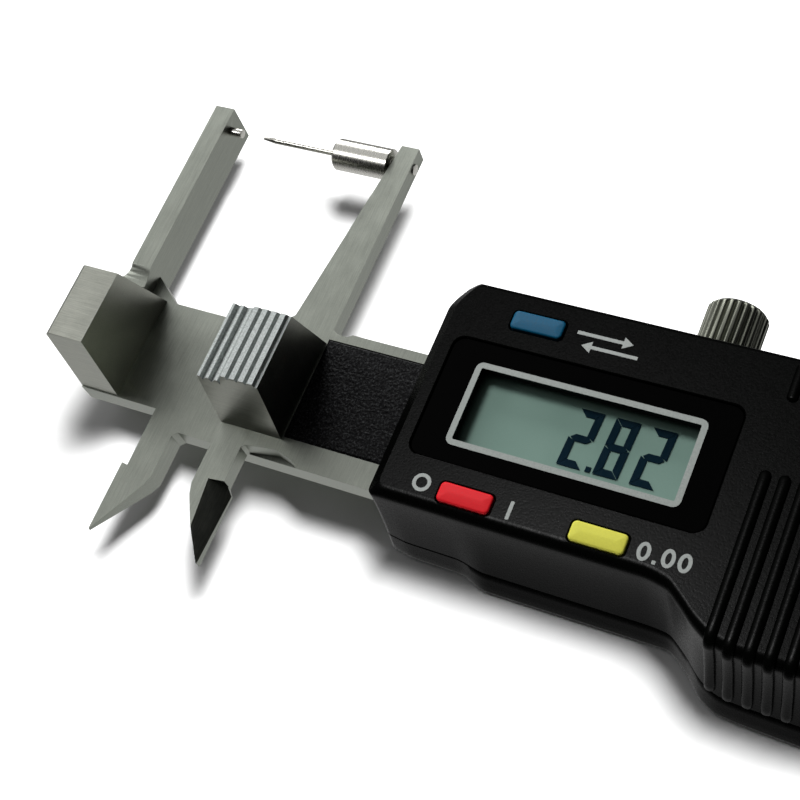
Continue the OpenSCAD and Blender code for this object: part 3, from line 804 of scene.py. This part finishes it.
def segment_outlines(width, height, t, gap):
    """The seven strokes of a display figure, each a list of (x, y), by their usual letters."""
    mid = height / 2
    half = t / 2

    def flat(y_outer, y_inner):
        return [(gap, y_outer), (width - gap, y_outer), (width - t - gap, y_inner), (t + gap, y_inner)]

    def upright(x_outer, x_inner, y0, y1, low_cut, high_cut):
        return [(x_outer, y0 + gap + low_cut[0]), (x_outer, y1 - gap - high_cut[0]),
                (x_inner, y1 - gap - high_cut[1]), (x_inner, y0 + gap + low_cut[1])]

    return {
        "a": flat(height, height - t), "d": flat(0, t),
        "g": [(gap + half * 0.4, mid), (gap + half + 0.2, mid + half),
              (width - half - 0.2 - gap, mid + half), (width - gap - half * 0.4, mid),
              (width - half - 0.2 - gap, mid - half), (gap + half + 0.2, mid - half)],
        "b": upright(width, width - t, mid, height, (0, half), (0, t)),
        "c": upright(width, width - t, 0, mid, (0, t), (0, half)),
        "f": upright(0, t, mid, height, (0, half), (0, t)),
        "e": upright(0, t, 0, mid, (0, t), (0, half)),
    }


def slab(outline, bottom, top):
    """A flat solid with that outline."""
    return closed_rings([at_height(outline, bottom), at_height(outline, top)])


def figure(character, x, y, bottom, top):
    """One display figure with its lower left corner at x, y."""
    strokes = segment_outlines(DIGIT_W, DIGIT_H, SEGMENT_T, SEGMENT_GAP)
    return joined(*[slab([(x + px + DIGIT_SLANT * py, y + py) for px, py in strokes[letter]], bottom, top)
                    for letter in SEGMENTS[character]])


def build_figures(cell_top):
    """The reading between the anvil and the needle, in the position that the part is drawn in."""
    x, y = glass_low.x + 10.4, glass_low.y + 1.7
    bottom, top = cell_top + 0.06, cell_top + 0.09
    solids = [figure(character, x + i * DIGIT_PITCH, y, bottom, top) for i, character in enumerate(READING)]
    dot = x + DIGIT_PITCH - DOT_BACK
    solids.append(slab([(dot, y), (dot + DOT_W, y), (dot + (DOT_W + DOT_LEAN), y + DOT_H),
                        (dot + DOT_LEAN, y + DOT_H)], bottom, top))
    finish_piece(new_object("display_figures", *joined(*solids)), MATERIALS["figures"], "slider")


build_window()
build_figures(build_cell())


# ---- Buttons ----

BUTTON_RADIUS = 0.48
BUTTON_CROWN = 0.08


def build_button(node, body, material):
    """A push button with rounded corners, a rolled edge and a slightly domed top."""
    low, high = box_mm(node)
    corner_low, corner_high = (low.x, low.y), (high.x, high.y)
    skirt = high.z - 1.9
    rolled = 0.22
    levels = [(skirt, 0.0), (high.z - rolled - BUTTON_CROWN, 0.0)]
    for i in range(1, 6):
        angle = math.pi / 2 * i / 5
        levels.append((high.z - BUTTON_CROWN - rolled * (1 - math.sin(angle)),
                       -rolled * (1 - math.cos(angle))))
    levels += [(high.z - BUTTON_CROWN * 0.4, -0.55), (high.z, -0.9)]
    rings = [at_height(grown(corner_low, corner_high, BUTTON_RADIUS, by), z) for z, by in levels]
    button = new_object(node + "_cap", *closed_rings(rings))
    finish_piece(button, MATERIALS[material], body, (node,), sharp_degrees=60)


for button_node, button_material in (("button_power", "button_red"), ("button_zero", "button_yellow"),
                                     ("button_unit", "button_blue")):
    build_button(button_node, button_node, button_material)


# ---- Printed symbols beside the buttons ----

INK_LEVELS = (FACE_Z - 0.02, FACE_Z + 0.03)
STROKE = 0.36
SIGN_HALF, NOUGHT_HALF = 0.92, 0.62


def oval_sign(x, y, half_w, half_h):
    """A ring-shaped sign."""
    return ring_solid(ellipse(x, y, half_w, half_h), ellipse(x, y, half_w - STROKE, half_h - STROKE),
                      *INK_LEVELS)


def bar_sign(low, high):
    """A bar-shaped sign or a point."""
    return slab(rounded_rectangle(low, high, 0.1), *INK_LEVELS)


def arrow_sign(tail, head, y, head_length=1.0, head_half=0.62):
    """A straight arrow along X from tail to head."""
    way = 1 if head > tail else -1
    neck = head - way * head_length
    half = STROKE / 2
    outline = [(tail, y - half), (neck, y - half), (neck, y - head_half), (head, y), (neck, y + head_half),
               (neck, y + half), (tail, y + half)]
    return slab(outline if way > 0 else outline[::-1], *INK_LEVELS)


def print_symbols():
    """A ring for off, a bar for on, a row of noughts for zero and two arrows for the change of units."""
    power_low, power_high = box_mm("button_power")
    zero_low, zero_high = box_mm("button_zero")
    unit_low, unit_high = box_mm("button_unit")
    power_y = (power_low.y + power_high.y) / 2 + 0.3
    zero_y = (zero_low.y + zero_high.y) / 2
    unit_y = (unit_low.y + unit_high.y) / 2 - 0.3
    bar_x, zero_x = power_high.x + 1.6, zero_high.x + 1.6
    solids = [oval_sign(power_low.x - 1.9, power_y, SIGN_HALF, SIGN_HALF),
              bar_sign((bar_x, power_y - SIGN_HALF - 0.2), (bar_x + STROKE, power_y + SIGN_HALF - 0.2)),
              oval_sign(zero_x, zero_y, NOUGHT_HALF, SIGN_HALF)]
    point_x, point_y = zero_x + 0.95, zero_y - SIGN_HALF
    solids.append(bar_sign((point_x, point_y), (point_x + STROKE, point_y + STROKE)))
    for i in range(2):
        solids.append(oval_sign(zero_x + 2.25 + 1.5 * i, zero_y, NOUGHT_HALF, SIGN_HALF))
    arrow_x = unit_high.x + 1.3
    solids.append(arrow_sign(arrow_x, arrow_x + 5.6, unit_y + 0.62))
    solids.append(arrow_sign(arrow_x + 6.4, arrow_x + 0.8, unit_y - 0.62))
    symbols = new_object("printed_symbols", *joined(*solids))
    finish_piece(symbols, MATERIALS["ink"], "slider")


print_symbols()


# ---- Grained insert ----

GRAIN_STEP = 0.075
GRAIN_HEIGHT = 0.055


def build_insert():
    """The granular black sheet in the slider's pocket."""
    across = int((insert_high.x - insert_low.x) / GRAIN_STEP)
    along = int((insert_high.y - insert_low.y) / GRAIN_STEP)
    points = []
    for j in range(along + 1):
        for i in range(across + 1):
            x = insert_low.x + (insert_high.x - insert_low.x) * i / across
            y = insert_low.y + (insert_high.y - insert_low.y) * j / along
            edge = min(i, j, across - i, along - j)
            coarse = noise.noise(Vector((x, y, 0)) * 3.6)
            fine = noise.noise(Vector((x, y, 7)) * 6.3)
            rise = GRAIN_HEIGHT * (0.6 * coarse + 0.5 * fine)
            z = insert_high.z + (rise if edge > 1 else -0.12)
            points.append((x, y, min(z, insert_high.z + GRAIN_HEIGHT)))
    row = across + 1
    faces = [[j * row + i, j * row + i + 1, (j + 1) * row + i + 1, (j + 1) * row + i]
             for j in range(along) for i in range(across)]
    rim = (list(range(row)) + [j * row + across for j in range(1, along + 1)]
           + [along * row + i for i in range(across - 1, -1, -1)]
           + [j * row for j in range(along - 1, 0, -1)])
    start = len(points)
    points.extend([(points[r][0], points[r][1], insert_low.z) for r in rim])
    for k in range(len(rim)):
        n = (k + 1) % len(rim)
        faces.append([rim[k], start + k, start + n, rim[n]])
    faces.append([start + k for k in range(len(rim))][::-1])
    finish_piece(new_object("grained_sheet", points, faces), MATERIALS["grain_black"], "slider",
                 ("textured_insert",), sharp_degrees=80)


build_insert()


# ---- Lock knob ----

FLUTES = 24
FLUTE_STEPS = 12
FLUTE_DEPTH = 0.3
KNOB_RADIUS = 3.1
KNOB_CHAMFER = 0.45
SHANK_RADIUS = 1.08


def build_knob():
    """The fluted knob of the lock screw, with a chamfered end and a shallow dished face."""
    x, z = (knob_low.x + knob_high.x) / 2, (knob_low.z + knob_high.z) / 2
    start, end = housing_high.y + 0.2, knob_high.y

    def ring(y, radius, depth):
        points = []
        for i in range(FLUTES * FLUTE_STEPS):
            phase = i / FLUTE_STEPS
            away = abs(phase - round(phase)) * 2
            groove = max(0.0, 1 - away / 0.62) ** 1.2
            angle = 2 * math.pi * phase / FLUTES
            r = radius - depth * groove
            points.append((x + r * math.cos(angle), y, z + r * math.sin(angle)))
        return points

    levels = [
        (knob_low.y, SHANK_RADIUS - 0.15, 0), (knob_low.y + 0.15, SHANK_RADIUS, 0), (start, SHANK_RADIUS, 0),
        (start, KNOB_RADIUS - 0.5, 0), (start + 0.02, KNOB_RADIUS - 0.3, 0),
        (start + 0.3, KNOB_RADIUS, FLUTE_DEPTH), (end - KNOB_CHAMFER - 0.1, KNOB_RADIUS, FLUTE_DEPTH),
        (end - KNOB_CHAMFER, KNOB_RADIUS - 0.03, FLUTE_DEPTH), (end - 0.12, KNOB_RADIUS - 0.36, 0.02),
        (end, KNOB_RADIUS - 0.6, 0), (end, KNOB_RADIUS - 0.75, 0), (end - 0.15, KNOB_RADIUS - 1.1, 0),
        (end - 0.18, 0.4, 0)]
    rings = [ring(*level) for level in levels]
    knob = new_object("fluted_knob", *closed_rings(rings))
    finish_piece(knob, MATERIALS["knob_metal"], "lock_knob", ("lock_knob",), sharp_degrees=50)


build_knob()


# ---- Studio ----

FLOOR_SIZE = 3.0
CAMERA_PLACE = Vector((0.09012, -0.05033, 0.12834))
CAMERA_RIGHT = Vector((0.8899, 0.3838, -0.2463))
CAMERA_UP = Vector((-0.2444, 0.8574, 0.4529))
CAMERA_LENS = 69.85
SENSOR_WIDTH = 36
NEAR_CLIP = 0.005
# The room's light by direction: where it starts and stops changing, then its strength at each
ABOVE = (0.15, 0.85, 0.05, 0.56)
BELOW = (-0.2, -0.7, 0.0, 0.62)
SIDE = (-0.4, 0.25, 1.15, 0.02)
FRONT = (-0.45, 0.2, 0.04, 1.0)
SEEN_STRENGTH = 0.9


def build_floor():
    """A pale matt sheet under the caliper."""
    material, tree, shader = new_material("pale_paper", Specular_IOR_Level=0.1)
    fibres = noise_field(tree, 0.2, detail=4)
    colour_by(tree, shader, fibres, (0.86, 0.86, 0.86), (0.9, 0.9, 0.9))
    roughen_by(tree, shader, fibres, 0.3, 0.7, 0.85, 0.95)
    half = FLOOR_SIZE / 2 / MM
    z = BACK_Z - 0.02
    corners = [(-half, -half, z), (half, -half, z), (half, half, z), (-half, half, z)]
    floor = new_object("floor", corners, [[0, 1, 2, 3]])
    floor.data.materials.append(material)
    if floor.data.polygons[0].normal.z < 0:
        floor.data.flip_normals()
    floor.visible_glossy = False
    return floor


def area_light(name, place, aim, width, height, power, only):
    """A rectangular lamp, in metres and watts, that lights one group of pieces."""
    data = bpy.data.lights.new(name, "AREA")
    data.shape = "RECTANGLE"
    data.size, data.size_y = width, height
    data.energy = power
    lamp = bpy.data.objects.new(name, data)
    lamp.location = place
    lamp.rotation_mode = "QUATERNION"
    lamp.rotation_quaternion = (Vector(aim) - Vector(place)).to_track_quat("-Z", "Y")
    scene.collection.objects.link(lamp)
    lamp.light_linking.receiver_collection = only


def lit_group(name, pieces):
    """A collection that a lamp can be limited to."""
    group = bpy.data.collections.new(name)
    for piece in pieces:
        group.objects.link(piece)
    return group


def build_world():
    """A soft room: bright overhead and dim near the horizon, and plain pale where the camera sees it."""
    world = bpy.data.worlds.new("studio")
    world.use_nodes = True
    scene.world = world
    tree = world.node_tree
    background = tree.nodes["Background"]
    where = tree.nodes.new("ShaderNodeTexCoord")
    split = tree.nodes.new("ShaderNodeSeparateXYZ")
    tree.links.new(where.outputs["Generated"], split.inputs["Vector"])
    above = mapped(tree, split.outputs["Z"], *ABOVE)
    below = mapped(tree, split.outputs["Z"], *BELOW)
    side = mapped(tree, split.outputs["X"], *SIDE)
    front = mapped(tree, split.outputs["Y"], *FRONT)
    above = combined(tree, "MULTIPLY", above, combined(tree, "MULTIPLY", side, front))
    light = combined(tree, "ADD", above, below)
    path = tree.nodes.new("ShaderNodeLightPath")
    seen = combined(tree, "MULTIPLY", path.outputs["Is Camera Ray"], SEEN_STRENGTH)
    unseen = combined(tree, "SUBTRACT", 1.0, path.outputs["Is Camera Ray"])
    strength = combined(tree, "ADD", seen, combined(tree, "MULTIPLY", unseen, light))
    background.inputs["Color"].default_value = (1, 1, 1, 1)
    tree.links.new(strength, background.inputs["Strength"])


def build_camera():
    """The camera at the photograph's viewing angle."""
    data = bpy.data.cameras.new("camera")
    data.lens = CAMERA_LENS
    data.sensor_width = SENSOR_WIDTH
    data.clip_start = NEAR_CLIP
    camera = bpy.data.objects.new("camera", data)
    back = CAMERA_RIGHT.cross(CAMERA_UP)
    turn = Matrix((CAMERA_RIGHT, CAMERA_UP, back)).transposed()
    camera.matrix_world = Matrix.Translation(CAMERA_PLACE) @ turn.to_4x4()
    scene.collection.objects.link(camera)
    scene.camera = camera


floor_group = lit_group("floor_only", [build_floor()])
shells = ("housing_shell", "back_shell")
object_group = lit_group("metal_and_trim", [o for o in scene.objects if o.type == "MESH"
                                            and o.name not in ("floor",) + shells])
housing_group = lit_group("housing_only", [scene.objects[name] for name in shells])
pin_group = lit_group("pins_only", [frame["nodes"][name] for name in (
    "needle_holder", "needle", "anvil_pin", "holder_stud")])
print_group = lit_group("display_only", [scene.objects[name] for name in (
    "display_cell", "display_border", "display_figures", "printed_symbols",
    "button_power_cap", "button_zero_cap", "button_unit_cap")])
teeth_group = lit_group("teeth_only", [frame["nodes"]["moving_block"]])
build_world()
TARGET = (0.045, 0.0, 0.0)
area_light("floor_lamp", (0.145, 0.21, 0.5), TARGET, 0.2, 0.2, 6.5, floor_group)
area_light("left_box", (-0.42, 0.06, 0.2), TARGET, 0.2, 0.2, 0.5, object_group)
area_light("back_box", (-0.25, 0.5, 0.2), TARGET, 0.2, 0.2, 1.6, object_group)
area_light("edge_strip", (-0.07, 0.03, 0.43), TARGET, 0.16, 0.06, 1.3, housing_group)
area_light("pin_lamp", (-0.138, -0.107, 0.345), (0.016, 0.029, 0.001), 0.1, 0.07, 0.35, pin_group)
area_light("display_lamp", (-0.16, 0.2, 0.42), TARGET, 0.14, 0.14, 1.5, print_group)
area_light("teeth_lamp", (-0.2, 0.1, 0.45), TARGET, 0.3, 0.3, 1.0, teeth_group)
scene.view_settings.view_transform = "Standard"
build_camera()
